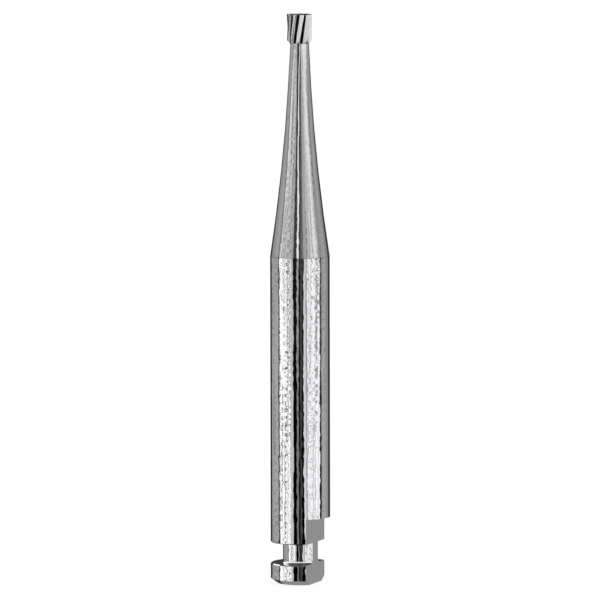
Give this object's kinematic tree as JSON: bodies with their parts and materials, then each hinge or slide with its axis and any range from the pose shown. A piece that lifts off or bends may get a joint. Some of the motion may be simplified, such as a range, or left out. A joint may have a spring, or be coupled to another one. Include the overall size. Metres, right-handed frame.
{
  "type": "dental bur",
  "caption": "Right-angle dental bur: steel latch-type shank with a drive flat and latch groove, flaring down to a small fluted inverted-cone head.",
  "frame": {"origin": "on the bur's axis, at the flat end of the latch disk", "axes": "+Z along the axis from the latch end to the cutting tip, +X out of the drive flat"},
  "size_m": [0.0024, 0.0024, 0.0224],
  "materials": {
    "steel": "ground and satin-finished steel, bright, with a fine speckled grain; tooth roots darker"
  },
  "bodies": {
    "root": {"bur": "steel"}
  },
  "joints": []
}
